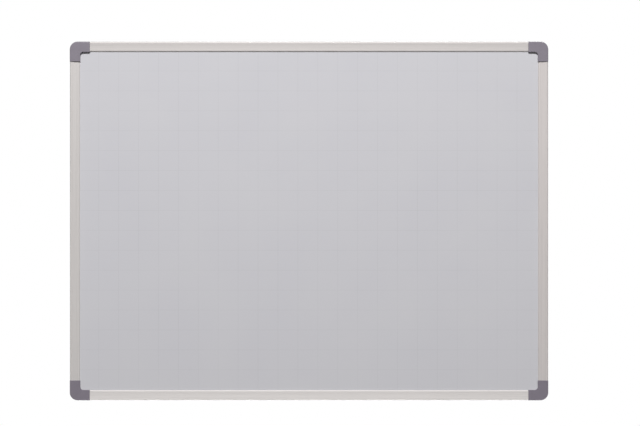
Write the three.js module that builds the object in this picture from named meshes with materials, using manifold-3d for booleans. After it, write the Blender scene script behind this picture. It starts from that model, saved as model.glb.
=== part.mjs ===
// A wall-hung framed whiteboard with a printed grid: a lacquered steel panel in four
// aluminium rails, joined by moulded corner joints under snap-on corner caps.
// Millimetres. X runs across the board, Z is up and the writing surface looks towards -Y.
// The origin is the centre of the panel's rear face. A forward distance is counted from
// there towards the viewer, and an inset from the outline over the corner caps.

import * as THREE from "three";
import { mergeVertices } from "three/addons/utils/BufferGeometryUtils.js";
import Module from "manifold-3d";

const wasm = await Module();
wasm.setup();

// Outline over the corner caps
const BOARD_WIDTH = 1200;
const BOARD_HEIGHT = 900;

// Panel, from the rear
const BACK_SHEET = 0.3;
const CORE = 9.2;
const WRITING_SHEET = 0.4;
const GLUE_LINE = 0.1;
const PANEL_FIT = 0.2; // slack before and behind the panel in the rails' channel
const PANEL_EDGE_FIT = 0.3; // slack around the panel's edge

// Rail section
const RAIL_WIDTH = 25.2;
const RAIL_WALL = 1.2;
const CHAMBER_WIDTH = 9.2;
const REAR_LIP = 1.4; // thickness of the rail's rear wall and of the lip behind the panel
const REAR_LIP_REACH = 7.6;
const FRONT_LIP = 3.6; // the rail's face stands this far in front of the channel
const FRONT_LIP_LEG = 4.8; // the leg under the nose that bears on the panel
const FACE_FALL = 1; // the face slopes down by this towards the writing surface
const FACE_DISH = 0.3; // and is hollowed by this below a straight slope
const NOSE_RUN = 3.4; // from the end of the face to the rail's inner edge
const NOSE_LIFT = 0.4; // from the channel forward to the nose's foot
const RAIL_EDGE_RADIUS = 4;
const BUTT_GAP = 0.2; // between a rail's end and the corner joint's block

// Corner joints
const PRONG_FIT = 0.3;
const PRONG_LENGTH = 36;
const PRONG_TIP = 3;
const PRONG_TAPER = 0.8;
const JOINT_FLOOR = 4;
const WALL_HOLE_DIAMETER = 7;
const SCREW_WELL_DIAMETER = 15;
const WALL_HOLE_EDGE = 13.2; // from the wall hole's centre to the block's outer sides
const SOCKET_EDGE = 4.5; // from a socket's centre to the block's two nearest sides
const JOINT_EDGE_RADIUS = 2;

// Corner caps
const CAP_WALL = 1.7;
const CAP_SIDE_WALL = 1; // beside the corner joint's block
const CAP_FIT = 0.2;
const CAP_ARM_LENGTH = 50;
const CAP_OVERHANG = 1; // past the foot of the rail's nose
const CAP_EAVE = 1.5; // how far an arm reaches down the rail's rounded edge, from its face
const CAP_OUTER_RADIUS = 20;
const CAP_INNER_RADIUS = 8;
const CAP_EDGE_RADIUS = 2.2;
const SKIRT_LIFT = 0.5; // from the wall to the cap's rear rim
const LIP_GAP = 1.5; // from the writing surface to the cap's inner lip
const POST_DIAMETER = 4;
const POST_LENGTH = 8.6;
const POST_TIP = 0.8;
const POST_FIT = 0.2;
const SOCKET_SPARE = 0.6; // the socket is deeper than the post by this

// Screws through the rails' rear walls into the prongs
const SCREW_SHANK = 2.9;
const SCREW_HEAD = 5.6;
const SCREW_LENGTH = 12;
const SCREW_TIP = 2.4;
const SCREW_SUNK = 0.1;
const SCREW_FIT = 0.1;
const SCREW_FROM_RAIL_END = 18;
const RECESS_SPAN = 3.2;
const RECESS_WIDTH = 0.7;
const RECESS_DEPTH = 1;

// Forward distances that follow
const PANEL_DEPTH = BACK_SHEET + CORE + WRITING_SHEET + 2 * GLUE_LINE;
const WALL_PLANE = -(PANEL_FIT + REAR_LIP);
const CHANNEL_FRONT = PANEL_DEPTH + PANEL_FIT;
const RAIL_FACE = CHANNEL_FRONT + FRONT_LIP;
const CAP_ROOF = RAIL_FACE + CAP_FIT;
const CAP_FACE = CAP_ROOF + CAP_WALL;
const CHAMBER_REAR = WALL_PLANE + REAR_LIP;
const NOSE_TOP = RAIL_FACE - FACE_FALL;
const NOSE_FOOT = CHANNEL_FRONT + NOSE_LIFT;

// Insets that follow
const BLOCK_INSET = CAP_SIDE_WALL + CAP_FIT;
const CHAMBER_INSET = RAIL_WALL;
const CHANNEL_INSET = CHAMBER_INSET + CHAMBER_WIDTH + RAIL_WALL;
const BLOCK_END = RAIL_WIDTH;
const NOSE_INSET = BLOCK_END - NOSE_RUN;
const RAIL_END = BLOCK_END + BUTT_GAP;
const CAP_ARM_WIDTH = BLOCK_END + CAP_OVERHANG;
const WALL_HOLE_INSET = BLOCK_INSET + WALL_HOLE_EDGE;
const PRONG_CENTRE = CHAMBER_INSET + CHAMBER_WIDTH / 2;
const SCREW_INSET = RAIL_END + SCREW_FROM_RAIL_END;
const SOCKET_NEAR = BLOCK_INSET + SOCKET_EDGE;
const SOCKET_FAR = BLOCK_END - SOCKET_EDGE;

// The rail's rounded outer edge turns on until it meets the sloping face at this angle.
const FACE_ANGLE = Math.atan((FACE_FALL + 4 * FACE_DISH) / (NOSE_INSET - RAIL_EDGE_RADIUS));
const FACE_START = RAIL_EDGE_RADIUS * (1 + Math.sin(FACE_ANGLE));
const FACE_TOP = RAIL_FACE - RAIL_EDGE_RADIUS * (1 - Math.cos(FACE_ANGLE));
const CHAMBER_FRONT = faceAt(CHAMBER_INSET + CHAMBER_WIDTH) - RAIL_WALL;

const ARC_STEPS = 8;
const ROUND_STEPS = 24;
const ROUNDING_STEPS = 4;
const FACE_STEPS = 4;
const NOSE_STEPS = 6;
const SPARE = 1; // how far a cutting shape runs past what it cuts

// A plan shape lies in X and Z and is extruded towards the viewer.
const TOWARDS_VIEWER = new THREE.Matrix4().makeBasis(
  new THREE.Vector3(1, 0, 0),
  new THREE.Vector3(0, 0, 1),
  new THREE.Vector3(0, -1, 0),
);

// A rail's section is drawn with the forward distance across and the inset upwards.
const ALONG_RAIL = new THREE.Matrix4().makeBasis(
  new THREE.Vector3(0, -1, 0),
  new THREE.Vector3(0, 0, 1),
  new THREE.Vector3(-1, 0, 0),
);

function solidOf(geometry) {
  const bare = geometry.clone();
  bare.deleteAttribute("normal");
  bare.deleteAttribute("uv");
  const merged = mergeVertices(bare, 1e-4);
  return new wasm.Manifold(
    new wasm.Mesh({
      numProp: 3,
      vertProperties: merged.attributes.position.array,
      triVerts: new Uint32Array(merged.index.array),
    }),
  );
}

function geometryOf(solid) {
  const { vertProperties, triVerts } = solid.getMesh();
  const indexed = new THREE.BufferGeometry();
  indexed.setAttribute("position", new THREE.BufferAttribute(vertProperties, 3));
  indexed.setIndex(new THREE.BufferAttribute(triVerts, 1));
  const geometry = indexed.toNonIndexed();
  geometry.computeVertexNormals();
  return geometry;
}

function polygon(points) {
  return new THREE.Shape(points.map(([x, y]) => new THREE.Vector2(x, y)));
}

function rectangle(x0, y0, x1, y1) {
  return polygon([
    [x0, y0],
    [x1, y0],
    [x1, y1],
    [x0, y1],
  ]);
}

// A plan shape between two forward distances.
function slab(shape, rear, front) {
  const geometry = new THREE.ExtrudeGeometry(shape, {
    depth: front - rear,
    curveSegments: ARC_STEPS,
    bevelEnabled: false,
  });
  return geometry.translate(0, 0, rear).applyMatrix4(TOWARDS_VIEWER);
}

// The same as a solid whose front edge is rounded by a radius. The extrusion rounds its rear
// edge too, so it starts deeper and is cut off flat.
function roundedSlab(shape, rear, front, radius) {
  const geometry = new THREE.ExtrudeGeometry(shape, {
    depth: front - radius - rear,
    curveSegments: ARC_STEPS,
    bevelThickness: radius,
    bevelSize: radius,
    bevelOffset: -radius,
    bevelSegments: ROUNDING_STEPS,
  });
  geometry.translate(0, 0, rear).applyMatrix4(TOWARDS_VIEWER);
  const low = -SPARE;
  const high = CAP_ARM_LENGTH + BLOCK_END;
  const behind = slab(rectangle(low, low, high, high), rear - radius - SPARE, rear);
  return solidOf(geometry).subtract(solidOf(behind));
}

// A round body about a forward axis, from pairs of radius and forward distance.
function turned(profile, x, z) {
  const points = profile.map(([radius, forward]) => new THREE.Vector2(radius, forward));
  return new THREE.LatheGeometry(points, ROUND_STEPS).rotateX(Math.PI).translate(x, 0, z);
}

function drilled(radius, rear, front, x, z) {
  return solidOf(
    turned(
      [
        [0, rear],
        [radius, rear],
        [radius, front],
        [0, front],
      ],
      x,
      z,
    ),
  );
}

// One layer of the panel: a sheet whose corners are notched for the corner joints. The area
// that the rails and caps leave bare is a field of its own in each face.
function panelLayer(rear, thickness) {
  const edge = CHANNEL_INSET + PANEL_EDGE_FIT;
  const notch = BLOCK_END + PANEL_EDGE_FIT;
  const bare = CAP_ARM_WIDTH + CAP_INNER_RADIUS;
  const halfWidth = BOARD_WIDTH / 2;
  const halfHeight = BOARD_HEIGHT / 2;
  const quarter = [
    [halfWidth - edge, halfHeight - notch],
    [halfWidth - notch, halfHeight - notch],
    [halfWidth - notch, halfHeight - edge],
  ];
  const mirrored = (sx, sz) => quarter.map(([x, z]) => new THREE.Vector2(sx * x, sz * z));
  const outline = [
    ...mirrored(1, 1),
    ...mirrored(-1, 1).reverse(),
    ...mirrored(-1, -1),
    ...mirrored(1, -1).reverse(),
  ];
  const field = [
    [1, 1],
    [-1, 1],
    [-1, -1],
    [1, -1],
  ].map(([sx, sz]) => new THREE.Vector2(sx * (halfWidth - bare), sz * (halfHeight - bare)));
  const plan = [...outline, ...field];
  const border = THREE.ShapeUtils.triangulateShape(outline, [field]);
  const first = outline.length;
  const face = [...border, [first, first + 1, first + 2], [first, first + 2, first + 3]];
  const count = plan.length;
  const triangles = [];
  for (const [a, b, c] of face) {
    triangles.push(a + count, b + count, c + count);
    triangles.push(c, b, a);
  }
  for (let i = 0; i < outline.length; i++) {
    const j = (i + 1) % outline.length;
    triangles.push(i, j, j + count, i, j + count, i + count);
  }
  const positions = [rear, rear + thickness].flatMap((forward) =>
    plan.flatMap((point) => [point.x, -forward, point.y]),
  );
  const geometry = new THREE.BufferGeometry();
  geometry.setAttribute("position", new THREE.Float32BufferAttribute(positions, 3));
  geometry.setIndex(triangles);
  const flat = geometry.toNonIndexed();
  flat.computeVertexNormals();
  return flat;
}

// The forward distance of the rail's face at an inset: a straight slope less the dish.
function faceAt(inset) {
  const share = (inset - FACE_START) / (NOSE_INSET - FACE_START);
  return FACE_TOP + (NOSE_TOP - FACE_TOP) * share - 4 * FACE_DISH * share * (1 - share);
}

// The rail's face and then its nose, a quarter of an ellipse down to its foot, both moved out
// by a clearance. Pairs of forward distance and inset.
function faceAndNose(clearance) {
  const drop = NOSE_TOP - NOSE_FOOT;
  const length = NOSE_INSET - FACE_START;
  const face = Array.from({ length: FACE_STEPS }, (_, step) => {
    const share = step / FACE_STEPS;
    const fall = (FACE_TOP - NOSE_TOP + 4 * FACE_DISH * (1 - 2 * share)) / length;
    const move = clearance / Math.hypot(1, fall);
    const inset = FACE_START + length * share;
    return [faceAt(inset) + move, inset + fall * move];
  });
  const nose = Array.from({ length: NOSE_STEPS + 1 }, (_, step) => {
    const turn = (step / NOSE_STEPS) * (Math.PI / 2);
    const ahead = Math.cos(turn) / drop;
    const across = Math.sin(turn) / NOSE_RUN;
    const move = clearance / Math.hypot(ahead, across);
    return [
      NOSE_FOOT + drop * Math.cos(turn) + ahead * move,
      NOSE_INSET + NOSE_RUN * Math.sin(turn) + across * move,
    ];
  });
  return [...face, ...nose];
}

// The rail's section: a box chamber on the outside, a channel for the panel inside it, and
// a front lip over the panel. The lip's face is a shallow dish that slopes inwards and rounds
// down to the writing surface, and a leg under its nose bears on the panel.
function railSection() {
  const shape = new THREE.Shape();
  const edgeCentre = RAIL_FACE - RAIL_EDGE_RADIUS;
  shape.moveTo(WALL_PLANE, 0);
  shape.lineTo(edgeCentre, 0);
  shape.absarc(edgeCentre, RAIL_EDGE_RADIUS, RAIL_EDGE_RADIUS, -Math.PI / 2, FACE_ANGLE);
  faceAndNose(0).forEach(([forward, inset]) => shape.lineTo(forward, inset));
  const leg = BLOCK_END - FRONT_LIP_LEG;
  shape.lineTo(CHANNEL_FRONT, BLOCK_END);
  shape.lineTo(CHANNEL_FRONT, leg);
  shape.lineTo(faceAt(leg) - RAIL_WALL, leg);
  shape.lineTo(faceAt(CHANNEL_INSET) - RAIL_WALL, CHANNEL_INSET);
  shape.lineTo(CHAMBER_REAR, CHANNEL_INSET);
  shape.lineTo(CHAMBER_REAR, CHANNEL_INSET + REAR_LIP_REACH);
  shape.lineTo(WALL_PLANE, CHANNEL_INSET + REAR_LIP_REACH);
  shape.closePath();

  const chamber = new THREE.Path();
  const inner = RAIL_EDGE_RADIUS - RAIL_WALL;
  chamber.moveTo(CHAMBER_REAR, CHAMBER_INSET);
  chamber.lineTo(CHAMBER_FRONT - inner, CHAMBER_INSET);
  chamber.absarc(CHAMBER_FRONT - inner, CHAMBER_INSET + inner, inner, -Math.PI / 2, 0);
  chamber.lineTo(CHAMBER_FRONT, CHAMBER_INSET + CHAMBER_WIDTH);
  chamber.lineTo(CHAMBER_REAR, CHAMBER_INSET + CHAMBER_WIDTH);
  chamber.closePath();
  shape.holes.push(chamber);
  return shape;
}

// A rail along X with its outer side down, in the place of the bottom rail.
function railGeometry(boardLength, boardBreadth) {
  const length = boardLength - 2 * RAIL_END;
  const blank = new THREE.ExtrudeGeometry(railSection(), {
    depth: length,
    curveSegments: ARC_STEPS / 2,
    bevelEnabled: false,
  });
  blank.translate(0, -boardBreadth / 2, -length / 2).applyMatrix4(ALONG_RAIL);
  let rail = solidOf(blank);
  const headRadius = SCREW_HEAD / 2 + SCREW_FIT;
  const shankRadius = SCREW_SHANK / 2 + SCREW_FIT;
  for (const side of [-1, 1]) {
    const countersink = turned(
      [
        [0, WALL_PLANE - SPARE],
        [headRadius, WALL_PLANE - SPARE],
        [headRadius, WALL_PLANE + SCREW_SUNK],
        [shankRadius, WALL_PLANE + SCREW_SUNK + headRadius - shankRadius],
        [shankRadius, CHAMBER_REAR + SPARE],
        [0, CHAMBER_REAR + SPARE],
      ],
      side * (boardLength / 2 - SCREW_INSET),
      PRONG_CENTRE - boardBreadth / 2,
    );
    rail = rail.subtract(solidOf(countersink));
  }
  return geometryOf(rail);
}

// A plan square from one inset to another with its outer corner rounded.
function cornerSquare(from, to, radius) {
  const shape = new THREE.Shape();
  shape.moveTo(from + radius, from);
  shape.lineTo(to, from);
  shape.lineTo(to, to);
  shape.lineTo(from, to);
  shape.lineTo(from, from + radius);
  shape.absarc(from + radius, from + radius, radius, Math.PI, Math.PI * 1.5);
  return shape;
}

// A prong of the corner joint, tapered at its tip, running along X into a rail's chamber.
function prong() {
  const root = BLOCK_END - SPARE;
  const tip = RAIL_END + PRONG_LENGTH;
  const low = CHAMBER_INSET + PRONG_FIT;
  const high = CHAMBER_INSET + CHAMBER_WIDTH - PRONG_FIT;
  const plan = polygon([
    [root, low],
    [tip - PRONG_TIP, low],
    [tip, low + PRONG_TAPER],
    [tip, high - PRONG_TAPER],
    [tip - PRONG_TIP, high],
    [root, high],
  ]);
  const corner = RAIL_EDGE_RADIUS - RAIL_WALL + PRONG_FIT;
  const relief = polygon([
    [root - SPARE, low - SPARE],
    [tip + SPARE, low - SPARE],
    [tip + SPARE, low + corner],
    [root - SPARE, low + corner],
  ]);
  const rear = CHAMBER_REAR + PRONG_FIT;
  const front = CHAMBER_FRONT - PRONG_FIT;
  const body = solidOf(slab(plan, rear, front));
  const step = solidOf(slab(relief, front - corner, front + SPARE));
  const hole = drilled(
    SCREW_SHANK / 2 + SCREW_FIT,
    rear - SPARE,
    front + SPARE,
    SCREW_INSET,
    PRONG_CENTRE,
  );
  return body.subtract(step).subtract(hole);
}

// Swaps X and Z, which turns what lies along one side of a corner onto its other side.
function acrossDiagonal(solid) {
  return solid.mirror([1, 0, -1]);
}

// The corner joint of the bottom left corner, placed by insets from that corner. Its block
// has a well for a wall screw's head, a hole for its shank and two sockets for the cap.
function jointGeometry() {
  const radius = CAP_OUTER_RADIUS - BLOCK_INSET;
  const plan = cornerSquare(BLOCK_INSET, BLOCK_END, radius);
  const post = POST_DIAMETER / 2 + POST_FIT;
  const socketRear = CAP_ROOF - POST_LENGTH - SOCKET_SPARE;
  const arm = prong();
  return geometryOf(
    roundedSlab(plan, WALL_PLANE, RAIL_FACE, JOINT_EDGE_RADIUS)
      .add(arm)
      .add(acrossDiagonal(arm))
      .subtract(
        drilled(
          SCREW_WELL_DIAMETER / 2,
          WALL_PLANE + JOINT_FLOOR,
          RAIL_FACE + SPARE,
          WALL_HOLE_INSET,
          WALL_HOLE_INSET,
        ),
      )
      .subtract(
        drilled(
          WALL_HOLE_DIAMETER / 2,
          WALL_PLANE - SPARE,
          WALL_PLANE + JOINT_FLOOR + SPARE,
          WALL_HOLE_INSET,
          WALL_HOLE_INSET,
        ),
      )
      .subtract(drilled(post, socketRear, RAIL_FACE + SPARE, SOCKET_FAR, SOCKET_NEAR))
      .subtract(drilled(post, socketRear, RAIL_FACE + SPARE, SOCKET_NEAR, SOCKET_FAR)),
  );
}

// The cap's outline: two arms with a round outer corner and a fillet between them inside.
function capOutline() {
  const shape = new THREE.Shape();
  const fillet = CAP_ARM_WIDTH + CAP_INNER_RADIUS;
  shape.moveTo(CAP_OUTER_RADIUS, 0);
  shape.lineTo(CAP_ARM_LENGTH, 0);
  shape.lineTo(CAP_ARM_LENGTH, CAP_ARM_WIDTH);
  shape.lineTo(fillet, CAP_ARM_WIDTH);
  shape.absarc(fillet, fillet, CAP_INNER_RADIUS, Math.PI * 1.5, Math.PI, true);
  shape.lineTo(CAP_ARM_WIDTH, CAP_ARM_LENGTH);
  shape.lineTo(0, CAP_ARM_LENGTH);
  shape.lineTo(0, CAP_OUTER_RADIUS);
  shape.absarc(CAP_OUTER_RADIUS, CAP_OUTER_RADIUS, CAP_OUTER_RADIUS, Math.PI, Math.PI * 1.5);
  return shape;
}

// The room that a rail takes under the cap's arm along X, with the cap's fit around it. The
// rail lies flush with the cap's outer side, so the arm covers only its face, and its eave
// ends part of the way down the rail's rounded edge.
function railRoom() {
  const rounding = RAIL_EDGE_RADIUS + CAP_FIT;
  const edgeCentre = RAIL_FACE - RAIL_EDGE_RADIUS;
  const eave = RAIL_FACE - CAP_EAVE;
  const eaveAngle = -Math.acos((eave - edgeCentre) / rounding);
  const shape = new THREE.Shape();
  shape.moveTo(WALL_PLANE - SPARE, -SPARE);
  shape.lineTo(eave, -SPARE);
  shape.absarc(edgeCentre, RAIL_EDGE_RADIUS, rounding, eaveAngle, FACE_ANGLE);
  faceAndNose(CAP_FIT).forEach(([forward, inset]) => shape.lineTo(forward, inset));
  shape.lineTo(WALL_PLANE - SPARE, BLOCK_END + CAP_FIT);
  shape.closePath();
  const from = BLOCK_END - CAP_FIT;
  const length = CAP_ARM_LENGTH + SPARE - from;
  const room = new THREE.ExtrudeGeometry(shape, {
    depth: length,
    curveSegments: ARC_STEPS / 2,
    bevelEnabled: false,
  });
  room.translate(0, 0, -from - length).applyMatrix4(ALONG_RAIL);
  return solidOf(room);
}

function capPost(x, z) {
  const radius = POST_DIAMETER / 2;
  const end = CAP_ROOF - POST_LENGTH;
  return solidOf(
    turned(
      [
        [0, end],
        [radius - POST_TIP / 2, end],
        [radius, end + POST_TIP],
        [radius, CAP_ROOF + CAP_WALL / 2],
        [0, CAP_ROOF + CAP_WALL / 2],
      ],
      x,
      z,
    ),
  );
}

// The corner cap of the bottom left corner: a shell over the rails' ends and the joint,
// open at the rear and at its arms' ends, with two posts for the joint's sockets. Its outer
// edges are rounded, and the edges towards the panel and at the arms' ends are square.
function capGeometry() {
  const past = CAP_ARM_LENGTH + CAP_EDGE_RADIUS + SPARE;
  const rounded = roundedSlab(
    cornerSquare(0, past, CAP_OUTER_RADIUS),
    WALL_PLANE + SKIRT_LIFT,
    CAP_FACE,
    CAP_EDGE_RADIUS,
  );
  const blockRoom = roundedSlab(
    cornerSquare(CAP_SIDE_WALL, BLOCK_END + CAP_FIT, CAP_OUTER_RADIUS - CAP_SIDE_WALL),
    WALL_PLANE - SPARE,
    CAP_ROOF,
    JOINT_EDGE_RADIUS + CAP_FIT,
  );
  const lip = PANEL_DEPTH + LIP_GAP;
  const lipStart = BLOCK_END - NOSE_RUN / 2;
  const panelRoom = slab(rectangle(lipStart, lipStart, past, past), WALL_PLANE - SPARE, lip);
  const room = railRoom();
  return geometryOf(
    rounded
      .intersect(solidOf(slab(capOutline(), WALL_PLANE, CAP_FACE + SPARE)))
      .subtract(room)
      .subtract(acrossDiagonal(room))
      .subtract(blockRoom)
      .subtract(solidOf(panelRoom))
      .add(capPost(SOCKET_FAR, SOCKET_NEAR))
      .add(capPost(SOCKET_NEAR, SOCKET_FAR)),
  );
}

// A countersunk screw with a cross recess, driven from the rear, about the Y axis.
function screwGeometry() {
  const rear = WALL_PLANE + SCREW_SUNK;
  const head = SCREW_HEAD / 2;
  const shank = SCREW_SHANK / 2;
  const body = solidOf(
    turned(
      [
        [0, rear],
        [head, rear],
        [shank, rear + head - shank],
        [shank, rear + SCREW_LENGTH - SCREW_TIP],
        [0, rear + SCREW_LENGTH],
      ],
      0,
      0,
    ),
  );
  const span = RECESS_SPAN / 2;
  const width = RECESS_WIDTH / 2;
  const bar = solidOf(
    slab(rectangle(-span, -width, span, width), rear - SPARE, rear + RECESS_DEPTH),
  );
  return geometryOf(body.subtract(bar).subtract(acrossDiagonal(bar)));
}

function material(color, roughness, metalness) {
  return new THREE.MeshStandardMaterial({ color, roughness, metalness });
}

const lacqueredSteel = material(0xc7c5ca, 0.28, 0);
const paperHoneycomb = material(0xa98c68, 0.9, 0);
const galvanisedSteel = material(0x9fa3a5, 0.45, 0.85);
const anodisedAluminium = material(0xc3bebc, 0.42, 0.8);
const mouldedPolyamide = material(0x2f3033, 0.7, 0);
const satinAbs = material(0x86828a, 0.6, 0);
const zincPlatedSteel = material(0xb9bcbf, 0.35, 0.9);

function addMesh(parent, name, geometry, surface) {
  const mesh = new THREE.Mesh(geometry, surface);
  mesh.name = name;
  parent.add(mesh);
  return mesh;
}

const whiteboard = new THREE.Group();

const coreRear = BACK_SHEET + GLUE_LINE;
const sheetRear = coreRear + CORE + GLUE_LINE;
addMesh(whiteboard, "back_sheet", panelLayer(0, BACK_SHEET), galvanisedSteel);
addMesh(whiteboard, "honeycomb_core", panelLayer(coreRear, CORE), paperHoneycomb);
addMesh(whiteboard, "writing_sheet", panelLayer(sheetRear, WRITING_SHEET), lacqueredSteel);

// Each side is the bottom rail turned about Y, with the screws at its two ends.
const SIDES = [
  { name: "bottom", quarterTurns: 0, length: BOARD_WIDTH, ends: ["left", "right"] },
  { name: "right", quarterTurns: -1, length: BOARD_HEIGHT, ends: ["bottom", "top"] },
  { name: "top", quarterTurns: 2, length: BOARD_WIDTH, ends: ["right", "left"] },
  { name: "left", quarterTurns: 1, length: BOARD_HEIGHT, ends: ["top", "bottom"] },
];
for (const { name, quarterTurns, length, ends } of SIDES) {
  const breadth = BOARD_WIDTH + BOARD_HEIGHT - length;
  const side = new THREE.Group();
  side.rotation.y = (quarterTurns * Math.PI) / 2;
  whiteboard.add(side);
  addMesh(side, `rail_${name}`, railGeometry(length, breadth), anodisedAluminium);
  ends.forEach((end, index) => {
    const along = (index === 0 ? -1 : 1) * (length / 2 - SCREW_INSET);
    const screw = addMesh(side, `rail_screw_${name}_${end}`, screwGeometry(), zincPlatedSteel);
    screw.position.set(along, 0, PRONG_CENTRE - breadth / 2);
  });
}

// Each corner is the bottom left corner turned about Y.
const CORNERS = [
  { name: "bottom_left", quarterTurns: 0, x: -1, z: -1 },
  { name: "bottom_right", quarterTurns: -1, x: 1, z: -1 },
  { name: "top_right", quarterTurns: 2, x: 1, z: 1 },
  { name: "top_left", quarterTurns: 1, x: -1, z: 1 },
];
for (const { name, quarterTurns, x, z } of CORNERS) {
  const corner = new THREE.Group();
  corner.rotation.y = (quarterTurns * Math.PI) / 2;
  corner.position.set((x * BOARD_WIDTH) / 2, 0, (z * BOARD_HEIGHT) / 2);
  whiteboard.add(corner);
  addMesh(corner, `corner_joint_${name}`, jointGeometry(), mouldedPolyamide);
  addMesh(corner, `corner_cap_${name}`, capGeometry(), satinAbs);
}

export default whiteboard;
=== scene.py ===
"""Looks of a wall-hung framed whiteboard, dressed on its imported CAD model.

The four rails and the four corner caps are fine surfaces worked out here, each in the place of
its CAD solid. The panel's layers, the corner joints and the screws are the CAD solids with
their finishes. Lengths below are in millimetres and become metres where a mesh is made. The
studio's are in metres.
"""

import math

import bmesh
import bpy
import numpy as np
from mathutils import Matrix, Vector
from mathutils.geometry import tessellate_polygon


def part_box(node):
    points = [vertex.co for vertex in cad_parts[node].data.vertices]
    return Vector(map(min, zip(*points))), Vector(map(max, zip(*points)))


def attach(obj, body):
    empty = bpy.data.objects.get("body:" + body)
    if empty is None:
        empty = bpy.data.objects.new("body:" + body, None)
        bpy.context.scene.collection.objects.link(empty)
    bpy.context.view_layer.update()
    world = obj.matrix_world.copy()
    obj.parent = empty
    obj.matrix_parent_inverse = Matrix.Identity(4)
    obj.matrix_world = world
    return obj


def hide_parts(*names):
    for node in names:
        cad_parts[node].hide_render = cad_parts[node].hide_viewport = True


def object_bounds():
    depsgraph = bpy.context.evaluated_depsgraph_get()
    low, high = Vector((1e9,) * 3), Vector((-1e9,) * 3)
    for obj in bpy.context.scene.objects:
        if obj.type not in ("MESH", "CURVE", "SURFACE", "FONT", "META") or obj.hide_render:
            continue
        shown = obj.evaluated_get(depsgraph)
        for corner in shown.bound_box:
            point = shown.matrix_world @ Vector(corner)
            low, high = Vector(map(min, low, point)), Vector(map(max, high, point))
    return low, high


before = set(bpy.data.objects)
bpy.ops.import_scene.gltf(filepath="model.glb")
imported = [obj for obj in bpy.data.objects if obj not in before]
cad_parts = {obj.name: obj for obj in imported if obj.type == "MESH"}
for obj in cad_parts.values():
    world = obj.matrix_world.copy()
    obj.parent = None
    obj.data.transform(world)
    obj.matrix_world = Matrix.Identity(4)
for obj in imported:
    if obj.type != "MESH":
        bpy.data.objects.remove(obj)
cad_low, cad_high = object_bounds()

MM = 0.001
HARD_EDGE = math.radians(35)
WELD_GAP = 0.001  # points closer than this become one
TOUCH = 0.01  # a point this near a plane lies in it

# Rail section: across is counted from the rail's outer side, forward from the panel's rear face
RAIL_WIDTH = 25.2
RAIL_FACE = 13.9
RAIL_REAR = -1.6
RAIL_WALL = 1.2
REAR_WALL = 1.4
CHAMBER_WIDTH = 9.2
CHANNEL_FRONT = 10.3
CHANNEL_ACROSS = 11.6
REAR_LIP_REACH = 7.6
LIP_LEG = 4.8
RAIL_EDGE_RADIUS = 4.0
FACE_FALL = 1.0  # the face slopes down by this towards the writing surface
FACE_DISH = 0.3  # and is hollowed by this below a straight slope
NOSE_RUN = 3.4
NOSE_FOOT = 10.7
BROKEN_EDGE = 0.25  # the radius that the extrusion die leaves on an edge
LIP_EDGE = 0.15  # and on the thin edge next to the panel, the cap's too
EDGE_POINTS = 19  # points round the outer edge, across the face and round the nose
FACE_POINTS = 17
NOSE_POINTS = 13
BROKEN_POINTS = 5  # round an outside edge, a lesser one and the chamber's rounded corner
LESSER_POINTS = 4
CHAMBER_POINTS = 9

# Countersunk screw holes in a rail's rear wall
SCREW_FROM_RAIL_END = 18.0
HEAD_HOLE = 2.9
SHANK_HOLE = 1.6
HEAD_SUNK = 0.1
HOLE_PATCH = 3.2  # half the square of wall that is worked out round a hole
PATCH_CELLS = 8
SCREW_ACROSS = RAIL_WALL + CHAMBER_WIDTH / 2

# Corner cap: across is counted from the cap's outer edge
CAP_ARM = 50.0
CAP_WIDTH = 26.2
CAP_FACE = 15.8
CAP_ROOF = 14.1  # the inside of the face
CAP_SIDE_WALL = 1.0
CAP_FIT = 0.2
CAP_REAR = -1.1
CAP_EAVE = 12.4  # an arm's outer side ends here, on the rail's rounded edge
CAP_LIP = 11.6
CAP_OUTER_RADIUS = 20.0
CAP_FILLET = 8.0
CAP_EDGE_RADIUS = 2.2
CAP_INNER_EDGE_RADIUS = 0.5
CAP_END_RADIUS = 0.35
CAP_EDGE_POINTS = 13
CAP_INNER_EDGE_POINTS = 6
CAP_END_POINTS = 7
CAP_ARM_POINTS = 6
CAP_ARM_START = 2.0  # an arm's evenly spaced rows start this far from its end
CAP_CORNER_POINTS = 49
RIM_RADIUS = 0.25
ROOM_RADIUS = 2.2  # inside, over the corner joint's rounded edge
BLEND_START = 5.2  # between these the section belongs to both edges of the cap
BLEND_END = 22.2
POSTS = ((20.7, 5.7), (5.7, 20.7))  # their axes, from the cap's two outer sides
POST_RADIUS = 2.0
POST_LENGTH = 8.6
POST_TIP = 0.8
POST_STEPS = 24

# Printed grid
GRID_PITCH = 50.0
GRID_UPRIGHT = 22.0  # one upright line lies this far right of the middle
GRID_LEVEL = 26.5  # one level line lies this far above the middle
LINE_WIDTH = 0.8
LINE_BLUR = 0.2  # of half a line's width, at each of its sides
LEAST_INK = 0.3  # what is left of a line where it is worn most

# Galvanised rear sheet: its zinc crystals, and how much a noise bends their borders
CRYSTAL_SIZE = 14.0
CRYSTAL_BEND = 0.012
BENDS_A_METRE = 90.0

NOISE_SPAN = (0.3, 0.7)  # nearly all of a noise's values lie between these

# Photograph: the board's width in it, and how far the view's middle lies from the board's
PHOTO_PIXELS = 640
BOARD_PIXELS = 478.5
BOARD_WIDTH = 1200.0
VIEW_RIGHT = 27.5
VIEW_UP = 20.0

# Studio, in metres
FLOOR_DROP = 0.9
FLOOR_RADIUS = 9.0
FLOOR_STEPS = 64
FADE_START = 1.4
FADE_END = 3.2

FORWARD = np.array([0.0, -1.0, 0.0])


# Surfaces


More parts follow.
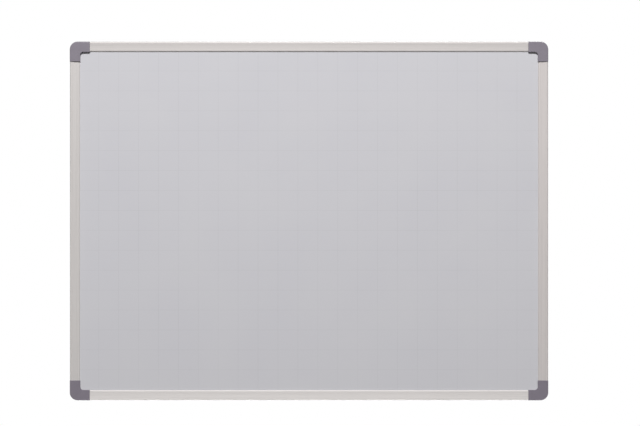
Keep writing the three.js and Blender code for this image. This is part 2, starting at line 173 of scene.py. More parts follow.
def rounded_outline(corners):
    """A closed outline through corners (x, y, radius, points), each rounded by its own radius.

    An arc's centre lies on the corner's bisector at radius / sin(half angle) from the corner.
    Its points are spread evenly by angle from one tangent point to the other, and a corner
    with one point stays sharp.
    """
    corners = np.array(corners, float)
    tip, radius, count = corners[:, :2], corners[:, 2:3], corners[:, 3:4]
    back = np.roll(tip, 1, 0) - tip
    ahead = np.roll(tip, -1, 0) - tip
    back /= np.linalg.norm(back, axis=1, keepdims=True)
    ahead /= np.linalg.norm(ahead, axis=1, keepdims=True)
    half = np.arccos(np.clip((back * ahead).sum(1, keepdims=True), -1, 1)) / 2
    bisector = back + ahead
    bisector /= np.maximum(np.linalg.norm(bisector, axis=1, keepdims=True), 1e-9)
    centre = tip + bisector * radius / np.sin(half)
    start = tip + back * radius / np.tan(half) - centre
    end = tip + ahead * radius / np.tan(half) - centre
    first = np.arctan2(start[:, 1:], start[:, :1])
    turn = np.arctan2(end[:, 1:], end[:, :1]) - first
    turn = (turn + math.pi) % (2 * math.pi) - math.pi
    step = np.arange(int(count.max()))[None, :]
    angle = first + turn * step / np.maximum(count - 1, 1)
    arcs = centre[:, None] + radius[:, None] * np.stack([np.cos(angle), np.sin(angle)], -1)
    return arcs[step < count]


def strip_quads(rows):
    """Quads between neighbouring rows of a grid of vertex numbers, where each row is a ring."""
    after = np.roll(rows, -1, 1)
    return np.stack([rows[:-1], rows[1:], after[1:], after[:-1]], -1).reshape(-1, 4)


def make_piece(name, points, faces, uv=None):
    """A smooth-shaded mesh object from points in metres, with its faces turned outwards.

    Edges sharper than the hard edge's angle stay hard, and each normal leans to the larger
    face beside it, so a flat wall shades flat right up to its rounded edge.
    """
    mesh = bpy.data.meshes.new(name)
    mesh.from_pydata(points.tolist(), [], faces)
    if uv is not None:
        layer = mesh.uv_layers.new(name="along_and_round")
        corner = np.zeros(len(mesh.loops), np.int64)
        mesh.loops.foreach_get("vertex_index", corner)
        layer.data.foreach_set("uv", uv[corner].astype(np.float32).ravel())
    work = bmesh.new()
    work.from_mesh(mesh)
    bmesh.ops.remove_doubles(work, verts=work.verts, dist=WELD_GAP * MM)
    bmesh.ops.recalc_face_normals(work, faces=work.faces)
    work.to_mesh(mesh)
    work.free()
    mesh.polygons.foreach_set("use_smooth", np.ones(len(mesh.polygons), bool))
    mesh.set_sharp_from_angle(angle=HARD_EDGE)
    piece = bpy.data.objects.new(name, mesh)
    bpy.context.scene.collection.objects.link(piece)
    weighted = piece.modifiers.new("face_weighted_normals", "WEIGHTED_NORMAL")
    weighted.keep_sharp = True
    return piece


def finish_piece(piece, finish, body, node):
    """Gives a piece its finish, lets it ride on its body and stand for its CAD node."""
    piece.data.materials.append(finish)
    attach(piece, body)
    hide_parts(node)


# Rails


def faced_outline(clearance):
    """The rail's outside from its side to the nose's foot, as (across, forward).

    An arc of the edge radius runs on until it meets the sloping face. The face is a straight
    slope less a dish of 4 * dish * s * (1 - s), and the nose is a quarter of an ellipse,
    foot + (run * sin t, drop * cos t). All are moved out along their normals by a clearance.
    """
    top = RAIL_FACE - FACE_FALL
    end = RAIL_WIDTH - NOSE_RUN
    angle = math.atan((FACE_FALL + 4 * FACE_DISH) / (end - RAIL_EDGE_RADIUS))
    turn = np.linspace(-math.pi / 2, angle, EDGE_POINTS)[:-1]
    out = np.stack([np.sin(turn), np.cos(turn)], -1)
    centre = np.array([RAIL_EDGE_RADIUS, RAIL_FACE - RAIL_EDGE_RADIUS])
    edge = centre + (RAIL_EDGE_RADIUS + clearance) * out

    start = centre + RAIL_EDGE_RADIUS * np.array([math.sin(angle), math.cos(angle)])
    share = np.linspace(0, 1, FACE_POINTS)[:-1, None]
    face = start + ([end, top] - start) * share
    face -= [0, 4 * FACE_DISH] * share * (1 - share)
    fall = (start[1] - top + 4 * FACE_DISH * (1 - 2 * share)) / (end - start[0])
    face += clearance * np.concatenate([fall, np.ones_like(fall)], 1) / np.hypot(1, fall)

    turn = np.linspace(0, math.pi / 2, NOSE_POINTS)
    drop = top - NOSE_FOOT
    out = np.stack([np.sin(turn) / NOSE_RUN, np.cos(turn) / drop], -1)
    nose = np.stack([end + NOSE_RUN * np.sin(turn), NOSE_FOOT + drop * np.cos(turn)], -1)
    nose += clearance * out / np.linalg.norm(out, axis=1, keepdims=True)
    return np.concatenate([edge, face, nose])


def sharp(points):
    """Points of an outline that are passed through as they are."""
    return [(across, forward, 0, 1) for across, forward in points]


def rail_outlines():
    """The rail's section as two closed outlines of (across, forward): its outside, and the
    chamber for the corner joint's prong. The front lip is a wall that follows the sloping
    face, with a leg under its nose."""
    patch = SCREW_ACROSS + np.linspace(-HOLE_PATCH, HOLE_PATCH, PATCH_CELLS + 1)
    faced = faced_outline(0)
    rear = RAIL_REAR + REAR_WALL
    rear_lip = CHANNEL_ACROSS + REAR_LIP_REACH
    leg = RAIL_WIDTH - LIP_LEG
    chamber_side = RAIL_WALL + CHAMBER_WIDTH
    inner_walls = (leg, CHANNEL_ACROSS, chamber_side)
    leg_front, channel_front, chamber_front = np.interp(inner_walls, *faced.T) - RAIL_WALL
    outside = [
        *sharp([(CHANNEL_ACROSS, rear)]),
        (rear_lip, rear, BROKEN_EDGE, BROKEN_POINTS),
        (rear_lip, RAIL_REAR, BROKEN_EDGE, BROKEN_POINTS),
        *sharp((across, RAIL_REAR) for across in patch[::-1]),
        (0, RAIL_REAR, BROKEN_EDGE, BROKEN_POINTS),
        *sharp(faced),
        (RAIL_WIDTH, CHANNEL_FRONT, LIP_EDGE, LESSER_POINTS),
        *sharp([(leg, CHANNEL_FRONT)]),
        (leg, leg_front, BROKEN_EDGE, LESSER_POINTS),
        (CHANNEL_ACROSS, channel_front, BROKEN_EDGE, LESSER_POINTS),
    ]
    chamber = [
        *sharp([(RAIL_WALL, rear)]),
        *sharp((across, rear) for across in patch),
        *sharp([(chamber_side, rear), (chamber_side, chamber_front)]),
        (RAIL_WALL, chamber_front, RAIL_EDGE_RADIUS - RAIL_WALL, CHAMBER_POINTS),
    ]
    return [rounded_outline(outline) for outline in (outside, chamber)]


def make_rail(name, node, inward):
    """A rail: its section's outlines carried in a straight line along its length.

    A point is middle + along * s + inward * across + forward * f. Round each screw the wall's
    grid gives way to rings that run from a square to a circle, down the countersink and out
    to a square again on the chamber's side.
    """
    low, high = (np.array(corner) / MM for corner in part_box(node))
    inward = np.array(inward, float)
    along = np.cross(inward, FORWARD)
    middle = np.where(inward > 0, low, np.where(inward < 0, high, (low + high) / 2))
    middle[1] = 0
    length = abs((high - low) @ along)
    screws = np.array([-1, 1]) * (length / 2 - SCREW_FROM_RAIL_END)
    patch = np.linspace(-HOLE_PATCH, HOLE_PATCH, PATCH_CELLS + 1)
    stations = np.concatenate([[-length / 2], screws[0] + patch, screws[1] + patch, [length / 2]])

    outlines = rail_outlines()
    grids, flat, used = [], [], 0
    for outline in outlines:
        s, section = np.broadcast_arrays(stations[:, None, None], outline[None])
        flat.append(np.concatenate([s[..., :1], section], -1).reshape(-1, 3))
        grids.append(used + np.arange(len(flat[-1])).reshape(len(stations), len(outline)))
        used += len(flat[-1])
    flat = np.concatenate(flat)

    rings = []
    for screw in screws:
        squares = []
        for grid in grids:
            near = np.abs(flat[grid, :2] - [screw, SCREW_ACROSS]).max(-1)
            wall = np.isclose(flat[grid, 2], RAIL_REAR) | np.isclose(
                flat[grid, 2], RAIL_REAR + REAR_WALL
            )
            squares.append(grid[wall & np.isclose(near, HOLE_PATCH)])
        away = [flat[square, :2] - [screw, SCREW_ACROSS] for square in squares]
        squares = [
            square[np.argsort(np.arctan2(gap[:, 1], gap[:, 0]))]
            for square, gap in zip(squares, away)
        ]
        gap = flat[squares[0], :2] - [screw, SCREW_ACROSS]
        gap /= np.linalg.norm(gap, axis=1, keepdims=True)
        rows = [squares[0]]
        for radius, forward in (
            (HEAD_HOLE, RAIL_REAR),
            (HEAD_HOLE, RAIL_REAR + HEAD_SUNK),
            (SHANK_HOLE, RAIL_REAR + REAR_WALL),
        ):
            ring = gap * radius + [screw, SCREW_ACROSS]
            flat = np.concatenate([flat, np.c_[ring, np.full(len(ring), forward)]])
            rows.append(np.arange(len(flat) - len(ring), len(flat)))
        rows.append(squares[1])
        rings.append(strip_quads(np.array(rows)))

    quads = np.concatenate([strip_quads(grid) for grid in grids])
    centre = flat[quads].mean(1)
    off = np.minimum(*(np.abs(centre[:, 0] - screw) for screw in screws))
    over = (off < HOLE_PATCH) & (np.abs(centre[:, 1] - SCREW_ACROSS) < HOLE_PATCH)
    rear_wall = centre[:, 2] < RAIL_REAR + REAR_WALL + TOUCH
    quads = np.concatenate([quads[~(over & rear_wall)], *rings])

    loops = [[Vector((x, y, 0)) for x, y in outline] for outline in outlines]
    caps = np.array(tessellate_polygon(loops))
    ends = [np.concatenate([grid[row] for grid in grids])[caps] for row in (0, -1)]
    faces = quads.tolist() + np.concatenate(ends).tolist()

    round_section = np.zeros(len(flat))
    for grid, outline in zip(grids, outlines):
        step = np.linalg.norm(np.diff(outline, axis=0), axis=1)
        round_section[grid] = np.concatenate([[0], np.cumsum(step)])[None]
    uv = np.stack([flat[:, 0], round_section], -1) * MM
    points = middle + flat[:, :1] * along + flat[:, 1:2] * inward + flat[:, 2:] * FORWARD
    return make_piece(name, points * MM, faces, uv)


# Corner caps


def cap_section(drawn_in, beside_joint):
    """The cap's wall as a closed outline of (across, forward), its outside drawn in by a depth.

    Over a rail the inside follows the rail at the cap's fit, and the outer side ends in an
    eave on the rail's rounded edge. Beside the corner joint the inside is flat with a rounding
    towards the panel, and the outer side is a wall down to the rear rim. Both outlines have
    the same number of points, so that one can follow the other.
    """
    face = CAP_FACE - drawn_in
    inner_side = CAP_WIDTH - drawn_in
    reach = RAIL_EDGE_RADIUS + CAP_FIT
    centre = RAIL_FACE - RAIL_EDGE_RADIUS
    wall_turn = math.asin((CAP_SIDE_WALL - RAIL_EDGE_RADIUS) / reach)
    turn = np.linspace(wall_turn, -math.acos((CAP_EAVE - centre) / reach), LESSER_POINTS + 1)
    eave = np.stack([RAIL_EDGE_RADIUS + reach * np.sin(turn), centre + reach * np.cos(turn)], -1)

    inside = faced_outline(CAP_FIT)[::-1]
    nose = inside[:, 0] > RAIL_WIDTH - NOSE_RUN
    lip_end = np.interp(CAP_LIP, inside[nose, 1], inside[nose, 0])
    inside = inside[(inside[:, 1] > CAP_LIP) & (inside[:, 0] > CAP_SIDE_WALL)]
    if beside_joint:
        nose = inside[:, 0] > RAIL_WIDTH - NOSE_RUN
        turn = np.linspace(math.pi / 2, 0, np.count_nonzero(nose))
        lip_end = RAIL_WIDTH + CAP_FIT
        room = [lip_end - ROOM_RADIUS, CAP_ROOF - ROOM_RADIUS]
        inside[inside[:, 0] > RAIL_EDGE_RADIUS, 1] = CAP_ROOF
        inside[nose] = room + ROOM_RADIUS * np.stack([np.sin(turn), np.cos(turn)], -1)
        rim = [(drawn_in, CAP_REAR, RIM_RADIUS, LESSER_POINTS)]
        wall = [*sharp(eave[:1]), (CAP_SIDE_WALL, CAP_REAR, RIM_RADIUS, LESSER_POINTS)]
    else:
        under = np.linspace(eave[-1, 0], drawn_in, LESSER_POINTS + 2)[1:-1]
        rim = sharp((across, CAP_EAVE) for across in under)
        wall = sharp(eave)
    return rounded_outline(
        [
            *rim,
            *sharp([(drawn_in, CAP_EAVE)]),
            (drawn_in, face, CAP_EDGE_RADIUS - drawn_in, CAP_EDGE_POINTS),
            (inner_side, face, CAP_INNER_EDGE_RADIUS - drawn_in, CAP_INNER_EDGE_POINTS),
            (inner_side, CAP_LIP, LIP_EDGE, LESSER_POINTS),
            *sharp([(lip_end, CAP_LIP), *inside]),
            *wall,
        ]
    )


def cap_path():
    """The cap's outer and inner edge, point for point, from one arm's end to the other's.

    Along an arm both are straight. Between the arms the inner edge is the fillet's quarter
    circle, and the outer edge is shared out by its length: straight, round the outer corner,
    straight. Gives both edges, the directions across from each, how deep the outside is drawn
    in there, which rounds the arms' ends: depth = r - sqrt(r^2 - (r - distance)^2), and
    whether the corner joint lies beside. Where it ends, two rows share one place.
    """
    fillet_centre = CAP_WIDTH + CAP_FILLET
    lead = np.linspace(0, math.pi / 2, CAP_END_POINTS)
    rounded = CAP_END_RADIUS * (1 - np.cos(lead))
    even = np.linspace(CAP_ARM_START, CAP_ARM - fillet_centre, CAP_ARM_POINTS)[:-1]
    from_end = np.concatenate([rounded, even])
    lower = np.stack([CAP_ARM - from_end, np.zeros(len(from_end))], -1)
    depth = np.maximum(CAP_END_RADIUS - from_end, 0)
    depth = CAP_END_RADIUS - np.sqrt(CAP_END_RADIUS**2 - depth**2)

    straight = fillet_centre - CAP_OUTER_RADIUS
    total = 2 * straight + CAP_OUTER_RADIUS * math.pi / 2
    joint_end = fillet_centre - (RAIL_WIDTH - CAP_FIT)
    joint_ends = np.repeat([joint_end, total - joint_end], 2)
    travelled = np.concatenate([np.linspace(0, total, CAP_CORNER_POINTS), joint_ends])
    travelled = np.sort(travelled)[:, None]
    joint_rows = np.arange(
        np.searchsorted(travelled[:, 0], joint_end) + 1,
        np.searchsorted(travelled[:, 0], total - joint_end) + 1,
    )
    share = travelled / total
    angle = np.clip((travelled - straight) / CAP_OUTER_RADIUS, 0, math.pi / 2)
    across_outer = np.concatenate([np.sin(angle), np.cos(angle)], 1)
    before = np.maximum(straight - travelled, 0)
    beyond = np.maximum(travelled - straight - CAP_OUTER_RADIUS * math.pi / 2, 0)
    outer = CAP_OUTER_RADIUS * (1 - across_outer) + np.concatenate([before, beyond], 1)
    turn = share * math.pi / 2
    across_inner = -np.concatenate([np.sin(turn), np.cos(turn)], 1)
    inner = fillet_centre + CAP_FILLET * across_inner

    up = np.tile([0.0, 1.0], (len(lower), 1))
    other = np.array([1, 0])
    outer = np.concatenate([lower, outer, lower[::-1, other]])
    inner = np.concatenate([lower + up * CAP_WIDTH, inner, (lower + up * CAP_WIDTH)[::-1, other]])
    across_outer = np.concatenate([up, across_outer, up[:, other]])
    across_inner = np.concatenate([-up, across_inner, -up[:, other]])
    depth = np.concatenate([depth, np.zeros(len(share)), depth[::-1]])
    beside_joint = np.zeros(len(depth), bool)
    beside_joint[len(lower) + joint_rows] = True
    return outer, inner, across_outer, across_inner, depth, beside_joint


def revolved(profile, centre, steps):
    """Points and faces of a profile of (radius, forward) turned round a forward axis. The two
    ends lie on the axis and are single points, closed by fans of triangles."""
    profile = np.array(profile, float)
    angle = np.arange(steps) * 2 * math.pi / steps
    ring = np.stack([np.cos(angle), np.sin(angle)], -1)
    body = centre + profile[1:-1, None, :1] * ring
    forward = np.broadcast_to(profile[1:-1, None, 1:], (*body.shape[:2], 1))
    body = np.concatenate([body, forward], -1)
    ends = [[*centre, profile[0, 1]], [*centre, profile[-1, 1]]]
    points = np.concatenate([body.reshape(-1, 3), ends])
    rows = np.arange(body.shape[0] * steps).reshape(-1, steps)
    faces = strip_quads(rows).tolist()
    for row, pole in ((rows[0], len(points) - 2), (rows[-1], len(points) - 1)):
        faces += np.stack([row, np.roll(row, -1), np.full(steps, pole)], -1).tolist()
    return points, faces


def make_cap(name, node, along, up):
    """A corner cap: the wall's section carried round the corner, with two posts inside.

    Near the outer edge a point at across t is that edge plus t along its normal. Near the
    inner edge it is that edge plus (width - t) along its normal. Between them it is a smooth
    blend of the two, by the share 3 s^2 - 2 s^3.
    """
    outer, inner, across_outer, across_inner, depth, beside_joint = cap_path()
    section = np.stack([cap_section(*row) for row in zip(depth, beside_joint)])
    across, forward = section[..., :1], section[..., 1:]
    share = np.clip((across - BLEND_START) / (BLEND_END - BLEND_START), 0, 1)
    share = share * share * (3 - 2 * share)
    from_outer = outer[:, None] + across * across_outer[:, None]
    from_inner = inner[:, None] + (CAP_WIDTH - across) * across_inner[:, None]
    flat = np.concatenate([from_outer * (1 - share) + from_inner * share, forward], -1)
    rows = np.arange(flat.shape[0] * flat.shape[1]).reshape(flat.shape[:2])
    faces = strip_quads(rows).tolist()
    for end in (0, -1):
        triangles = np.array(tessellate_polygon([[Vector((x, y, 0)) for x, y in section[end]]]))
        faces += rows[end][triangles].tolist()
    points = flat.reshape(-1, 3)

    tip = CAP_ROOF - POST_LENGTH
    root = CAP_ROOF + POST_TIP
    profile = [(0, tip), (POST_RADIUS - POST_TIP / 2, tip), (POST_RADIUS, tip + POST_TIP)]
    profile += [(POST_RADIUS, root), (0, root)]
    for centre in POSTS:
        post, post_faces = revolved(profile, np.array(centre), POST_STEPS)
        faces += [[corner + len(points) for corner in face] for face in post_faces]
        points = np.concatenate([points, post])

    low, high = (np.array(corner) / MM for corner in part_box(node))
    along, up = np.array(along, float), np.array(up, float)
    towards = along + up
    corner = np.where(towards > 0, low, high)
    corner[1] = 0
    placed = corner + points[:, :1] * along + points[:, 1:2] * up + points[:, 2:] * FORWARD
    return make_piece(name, placed * MM, faces)


# Finishes


def linear(hex_colour):
    """An sRGB hex colour as linear red, green, blue and a solid alpha."""
    value = np.array([int(hex_colour[i : i + 2], 16) for i in (1, 3, 5)]) / 255
    value = np.where(value <= 0.04045, value / 12.92, ((value + 0.055) / 1.055) ** 2.4)
    return (*value.tolist(), 1.0)


def add_node(tree, kind, inputs=None, **settings):
    """Adds a node with its settings. An input is given its value or the output that it reads."""
    made = tree.nodes.new(kind)
    for name, value in settings.items():
        setattr(made, name, value)
    for socket, value in (inputs or {}).items():
        if isinstance(value, bpy.types.NodeSocket):
            tree.links.new(value, made.inputs[socket])
        else:
            made.inputs[socket].default_value = value
    return made


def new_finish(name, **constants):
    """A material with one Principled shader, whose constant sockets are set by name."""
    material = bpy.data.materials.new(name)
    material.use_nodes = True
    tree = material.node_tree
    shader = next(n for n in tree.nodes if n.type == "BSDF_PRINCIPLED")
    for socket, value in constants.items():
        shader.inputs[socket.replace("_", " ")].default_value = value
    return material, tree, shader


def grain(tree, place, size_mm, detail=2.0, roughness=0.5):
    """Noise with grains of the given size, about 0 to 1. Size may differ along each axis."""
    size = np.broadcast_to(np.array(size_mm, float), 3) * MM
    scaled = add_node(
        tree, "ShaderNodeMapping", {"Vector": place, "Scale": (1 / size).tolist()}
    )
    noise = add_node(
        tree,
        "ShaderNodeTexNoise",
        {"Vector": scaled.outputs[0], "Scale": 1.0, "Detail": detail, "Roughness": roughness},
    )
    return noise.outputs[0]


def follow(tree, shader, pattern, tones=None, roughness=None, relief_mm=None, rise=NOISE_SPAN):
    """Lets a finish follow a pattern. As the pattern rises from one value to the other, the
    colour goes from the first hex tone to the second and the roughness from its first value
    to its second. The whole pattern raises the surface by a depth."""
    for socket, ends in (("Base Color", tones), ("Roughness", roughness)):
        if ends is None:
            continue
        coloured = socket == "Base Color"
        low, high = (0, 1) if coloured else ends
        followed = add_node(
            tree,
            "ShaderNodeMapRange",
            {
                "Value": pattern,
                "From Min": rise[0],
                "From Max": rise[1],
                "To Min": low,
                "To Max": high,
            },
        ).outputs[0]
        if coloured:
            first, second = map(linear, ends)
            followed = add_node(
                tree, "ShaderNodeMix", {0: followed, 6: first, 7: second}, data_type="RGBA"
            ).outputs[2]
        tree.links.new(followed, shader.inputs[socket])
    if relief_mm is not None:
        raised = add_node(
            tree,
            "ShaderNodeBump",
            {"Height": pattern, "Distance": relief_mm * MM, "Strength": 1.0},
        )
        tree.links.new(raised.outputs[0], shader.inputs["Normal"])


def baked_lacquer_on_steel():
    """White coil-coated lacquer, baked on: a glossy skin with a faint orange peel and the
    slight bloom of wiping, under a pale grey screen-printed grid of 50 mm squares whose ink
    is worn in broad patches. A point is inked where the nearer of the nearest upright and the
    nearest level line is less than half a line's width away."""
    material, tree, shader = new_finish("baked_lacquer_on_steel", IOR=1.5)
    place = add_node(tree, "ShaderNodeTexCoord").outputs["Object"]
    axes = add_node(tree, "ShaderNodeSeparateXYZ", {0: place})
    gaps = []
    for axis, first in (("X", GRID_UPRIGHT), ("Z", GRID_LEVEL)):
        moved = add_node(
            tree, "ShaderNodeMath", {0: axes.outputs[axis], 1: first * MM}, operation="SUBTRACT"
        )
        folded = add_node(
            tree,
            "ShaderNodeMath",
            {0: moved.outputs[0], 1: GRID_PITCH / 2 * MM},
            operation="PINGPONG",
        )
        gaps.append(folded.outputs[0])
    nearest = add_node(tree, "ShaderNodeMath", dict(enumerate(gaps)), operation="MINIMUM")
    half = LINE_WIDTH / 2 * MM
    line = add_node(
        tree,
        "ShaderNodeMapRange",
        {
            "Value": nearest.outputs[0],
            "From Min": half * (1 - LINE_BLUR),
            "From Max": half * (1 + LINE_BLUR),
            "To Min": 1.0,
            "To Max": 0.0,
        },
        interpolation_type="SMOOTHSTEP",
    )
    worn = add_node(
        tree,
        "ShaderNodeMapRange",
        {
            "Value": grain(tree, place, 180, 4),
            "From Min": NOISE_SPAN[0],
            "From Max": NOISE_SPAN[1],
            "To Min": LEAST_INK,
            "To Max": 1.0,
        },
    )
    ink = add_node(
        tree, "ShaderNodeMath", {0: line.outputs[0], 1: worn.outputs[0]}, operation="MULTIPLY"
    )
    follow(tree, shader, grain(tree, place, 180), tones=("#cbcace", "#c9c8cd"))
    bare = shader.inputs["Base Color"].links[0].from_socket
    printed = add_node(
        tree,
        "ShaderNodeMix",
        {0: ink.outputs[0], 6: bare, 7: linear("#bfbec2")},
        data_type="RGBA",
    )
    tree.links.new(printed.outputs[2], shader.inputs["Base Color"])
    follow(tree, shader, grain(tree, place, (90, 90, 14), 3), roughness=(0.16, 0.26))
    follow(tree, shader, grain(tree, place, 5, 1), relief_mm=0.004)
    return material


def satin_anodised_aluminium(side, dull, bright):
    """Extruded aluminium, etched and anodised: a satin metal whose fine die lines run along
    the rail and draw its highlights out across it, under a thin coat of clear oxide that
    brightens its rounded edges. The lines are drawn 0.6 to 2.5 mm apart, coarser than the
    real 0.1 mm, so that they show. Each rail is given its own two tones: darker on the top rail
    as painted shade, and lighter on the bottom rail as painted light, with the side rails
    between."""
    material, tree, shader = new_finish(
        f"satin_anodised_aluminium_{side}",
        Metallic=0.3,
        Anisotropic=0.5,
        Anisotropic_Rotation=0.25,
        Coat_Weight=0.35,
        Coat_Roughness=0.45,
        Coat_IOR=1.6,
    )
    place = add_node(tree, "ShaderNodeUVMap", uv_map="along_and_round").outputs[0]
    fine = grain(tree, place, (160, 0.6, 1), 2)
    broad = grain(tree, place, (420, 2.5, 1), 2)
    both = add_node(tree, "ShaderNodeMath", {0: fine, 1: broad}, operation="ADD")
    lines = add_node(tree, "ShaderNodeMath", {0: both.outputs[0], 1: 0.5}, operation="MULTIPLY")
    follow(
        tree,
        shader,
        lines.outputs[0],
        tones=(dull, bright),
        roughness=(0.68, 0.76),
        rise=(0.35, 0.65),
    )
    tangent = add_node(
        tree, "ShaderNodeTangent", direction_type="UV_MAP", uv_map="along_and_round"
    )
    tree.links.new(tangent.outputs[0], shader.inputs["Tangent"])
    follow(tree, shader, fine, relief_mm=0.006)
    return material


def spark_textured_abs():
    """Moulded ABS in a warm grey: a satin skin with the fine pitted texture that the
    spark-eroded mould leaves, drawn at 0.7 mm grain instead of 0.2 mm so that it shows."""
    material, tree, shader = new_finish("spark_textured_abs", IOR=1.75)
    place = add_node(tree, "ShaderNodeTexCoord").outputs["Object"]
    follow(tree, shader, grain(tree, place, 22, 2), tones=("#665f6a", "#6a636e"))
    pits = grain(tree, place, 0.7, 2, 0.6)
    follow(tree, shader, pits, roughness=(0.42, 0.54), relief_mm=0.03)
    return material


def galvanised_steel():
    """Hot-dip galvanised sheet: dull zinc frozen in flat crystals about 14 mm across, each of
    its own tone and gloss. Their borders are bent by a finer noise."""
    material, tree, shader = new_finish("galvanised_steel", Metallic=1.0)
    place = add_node(tree, "ShaderNodeTexCoord").outputs["Object"]
    warp = add_node(
        tree,
        "ShaderNodeTexNoise",
        {"Vector": place, "Scale": BENDS_A_METRE, "Detail": 3.0},
    )
    bent = add_node(
        tree,
        "ShaderNodeMix",
        {0: CRYSTAL_BEND, 4: place, 5: warp.outputs[1]},
        data_type="VECTOR",
    )
    crystals = add_node(
        tree,
        "ShaderNodeTexVoronoi",
        {"Vector": bent.outputs[1], "Scale": 1 / (CRYSTAL_SIZE * MM)},
    )
    crystal = add_node(tree, "ShaderNodeSeparateColor", {0: crystals.outputs["Color"]})
    tone, gloss = crystal.outputs[0], crystal.outputs[1]
    follow(tree, shader, tone, tones=("#8f9495", "#a7abac"), rise=(0, 1))
    follow(tree, shader, gloss, roughness=(0.34, 0.56), rise=(0, 1))
    follow(tree, shader, grain(tree, place, 1.5, 2), relief_mm=0.01)
    return material


def zinc_plated_steel():
    """Bright zinc on a steel screw: a pale bluish metal with slight wear from the driver."""
    material, tree, shader = new_finish("zinc_plated_steel", Metallic=1.0)
    place = add_node(tree, "ShaderNodeTexCoord").outputs["Object"]
    rubbed = grain(tree, place, 1.2, 3)
    follow(tree, shader, rubbed, tones=("#a9adb1", "#c2c5c8"), roughness=(0.22, 0.4))
    return material


def glass_filled_polyamide():
    """Black moulded polyamide with glass fibre: a dull skin with grey swirls where the fibres
    lie near the surface."""
    material, tree, shader = new_finish("glass_filled_polyamide", IOR=1.53)
    place = add_node(tree, "ShaderNodeTexCoord").outputs["Object"]
    follow(tree, shader, grain(tree, place, (9, 9, 3), 3), tones=("#29292c", "#36373b"))
    skin = grain(tree, place, 0.8, 2)
    follow(tree, shader, skin, roughness=(0.5, 0.7), relief_mm=0.02)
    return material


def honeycomb_paper():
    """Brown paper honeycomb between two facing papers: matt, with short fibres."""
    material, tree, shader = new_finish("honeycomb_paper", Roughness=0.92, IOR=1.5)
    place = add_node(tree, "ShaderNodeTexCoord").outputs["Object"]
    fibres = grain(tree, place, (3, 1, 0.6), 3)
    follow(tree, shader, fibres, tones=("#9c7f60", "#b3966f"), relief_mm=0.05)
    return material


# Studio


def sees_background(tree):
    """1 for camera, glossy and transmission rays, which see the white background."""
    path = add_node(tree, "ShaderNodeLightPath")
    seen = path.outputs["Is Camera Ray"]
    for kind in ("Is Glossy Ray", "Is Transmission Ray"):
        seen = add_node(
            tree, "ShaderNodeMath", {0: seen, 1: path.outputs[kind]}, operation="MAXIMUM"
        ).outputs[0]
    return seen


def white_surroundings():
    """A white world that is seen, also in gloss and through clear parts, but lights nothing."""
    world = bpy.data.worlds.new("white_surroundings")
    world.use_nodes = True
    bpy.context.scene.world = world
    tree = world.node_tree
    tree.nodes.clear()
    white = add_node(
        tree,
        "ShaderNodeBackground",
        {"Color": (1, 1, 1, 1), "Strength": sees_background(tree)},
    )
    add_node(tree, "ShaderNodeOutputWorld", {"Surface": white.outputs[0]})


def pale_floor(height):
    """A round pale floor that keeps the shadow and fades to the white background far out. It
    throws less light back than it shows, so that the shadows on the board stay dark."""
    turn = np.arange(FLOOR_STEPS)
    angle = turn * 2 * math.pi / FLOOR_STEPS
    rim = np.stack([np.cos(angle), np.sin(angle), np.zeros(FLOOR_STEPS)], -1) * FLOOR_RADIUS
    points = np.concatenate([rim, [[0, 0, 0]]]) + [0, 0, height]
    faces = np.stack([turn, np.roll(turn, -1), np.full(FLOOR_STEPS, FLOOR_STEPS)], -1)
    mesh = bpy.data.meshes.new("floor")
    mesh.from_pydata(points.tolist(), [], faces.tolist())
    floor = bpy.data.objects.new("floor", mesh)
    bpy.context.scene.collection.objects.link(floor)

    material, tree, shader = new_finish("pale_floor", Roughness=0.9)
    seen = sees_background(tree)
    shade = add_node(
        tree,
        "ShaderNodeMix",
        {0: seen, 6: linear("#464646"), 7: linear("#e8e8e8")},
        data_type="RGBA",
    )
    tree.links.new(shade.outputs[2], shader.inputs["Base Color"])
    place = add_node(tree, "ShaderNodeTexCoord").outputs["Object"]
    level = add_node(tree, "ShaderNodeVectorMath", {0: place, 1: (1, 1, 0)}, operation="MULTIPLY")
    away = add_node(tree, "ShaderNodeVectorMath", {0: level.outputs[0]}, operation="LENGTH")
    fade = add_node(
        tree,
        "ShaderNodeMapRange",
        {"Value": away.outputs["Value"], "From Min": FADE_START, "From Max": FADE_END},
        interpolation_type="SMOOTHSTEP",
    )
    share = add_node(
        tree, "ShaderNodeMath", {0: fade.outputs[0], 1: seen}, operation="MULTIPLY"
    )
    white = add_node(tree, "ShaderNodeEmission", {"Color": (1, 1, 1, 1), "Strength": 1.0})
    faded = add_node(
        tree,
        "ShaderNodeMixShader",
        {0: share.outputs[0], 1: shader.outputs[0], 2: white.outputs[0]},
    )
    out = next(n for n in tree.nodes if n.type == "OUTPUT_MATERIAL")
    tree.links.new(faded.outputs[0], out.inputs["Surface"])
    mesh.materials.append(material)


def softbox(name, place, target, width, height, power):
    """A rectangular soft light at a place, turned to face a target."""
    light = bpy.data.lights.new(name, "AREA")
    light.shape = "RECTANGLE"
    light.size, light.size_y, light.energy = width, height, power
    lamp = bpy.data.objects.new(name, light)
    lamp.location = place
    lamp.rotation_euler = (Vector(target) - Vector(place)).to_track_quat("-Z", "Y").to_euler()
    bpy.context.scene.collection.objects.link(lamp)


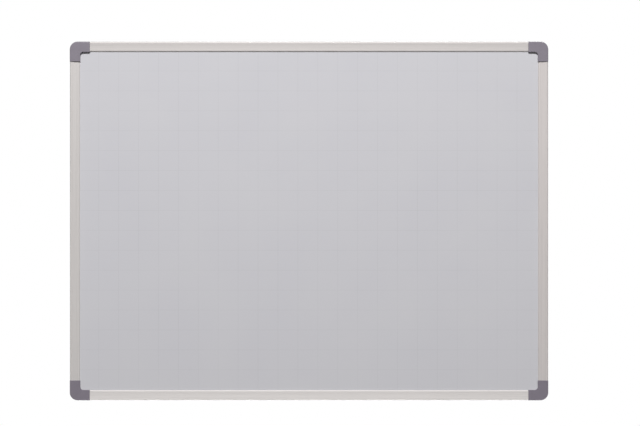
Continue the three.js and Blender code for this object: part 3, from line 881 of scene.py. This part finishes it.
def photograph_camera():
    """A camera square on to the board, where the photograph was taken. The board's widest
    outline lies where the caps' edges start to round, and fills its share of the picture."""
    camera = bpy.data.cameras.new("photograph")
    camera.lens = 85.0
    camera.sensor_width = 36.0
    shown = BOARD_WIDTH * PHOTO_PIXELS / BOARD_PIXELS
    outline = CAP_FACE - CAP_EDGE_RADIUS
    away = shown * camera.lens / camera.sensor_width + outline
    placed = bpy.data.objects.new("photograph", camera)
    placed.location = Vector((VIEW_RIGHT, -away, VIEW_UP)) * MM
    placed.rotation_euler = (math.pi / 2, 0, 0)
    bpy.context.scene.collection.objects.link(placed)
    bpy.context.scene.camera = placed


# The board

photograph_camera()

# A rail's way towards the board's middle, and the two tones of its die lines: darker on the top
# rail as painted shade, lighter on the bottom rail as painted light
for side, (inward, dull, bright) in {
    "bottom": ((0, 0, 1), "#bfbbb9", "#ccc8c6"),
    "top": ((0, 0, -1), "#b4b0ae", "#c1bcba"),
    "left": ((1, 0, 0), "#bdb9b7", "#cac6c4"),
    "right": ((-1, 0, 0), "#bdb7b5", "#cac4c2"),
}.items():
    rail = make_rail(f"extrusion_{side}", f"rail_{side}", inward)
    aluminium = satin_anodised_aluminium(side, dull, bright)
    finish_piece(rail, aluminium, "board", f"rail_{side}")

# The ways of a cap's two arms: each cap is the first one turned, never mirrored
abs_plastic = spark_textured_abs()
for corner, (along, up) in {
    "bottom_left": ((1, 0, 0), (0, 0, 1)),
    "bottom_right": ((0, 0, 1), (-1, 0, 0)),
    "top_right": ((-1, 0, 0), (0, 0, -1)),
    "top_left": ((0, 0, -1), (1, 0, 0)),
}.items():
    cap = make_cap(f"moulded_cap_{corner}", f"corner_cap_{corner}", along, up)
    finish_piece(cap, abs_plastic, f"cap_{corner}", f"corner_cap_{corner}")

lacquer = baked_lacquer_on_steel()
galvanised = galvanised_steel()
paper = honeycomb_paper()
polyamide = glass_filled_polyamide()
zinc = zinc_plated_steel()
finishes = {
    "writing_sheet": lacquer,
    "back_sheet": galvanised,
    "honeycomb_core": paper,
    "corner_joint": polyamide,
    "rail_screw": zinc,
}
for node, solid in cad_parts.items():
    for start, finish in finishes.items():
        if node.startswith(start):
            solid.data.materials.clear()
            solid.data.materials.append(finish)

bpy.context.scene.view_settings.view_transform = "Standard"
white_surroundings()
pale_floor(cad_low.z - FLOOR_DROP)
for name, place, target, width, height, power in (
    ("overhead_front", (-0.27, -4.9, 4.6), (0, 0, 0), 2.1, 0.9, 548),
    ("overhead_rear", (0.6, 3.6, 2.6), (0, 0, 0), 2.0, 1.4, 160),
    ("under_edge", (0, 0.1, -1.15), (0, 0, -0.45), 2.4, 0.15, 18),
):
    softbox(name, place, target, width, height, power)
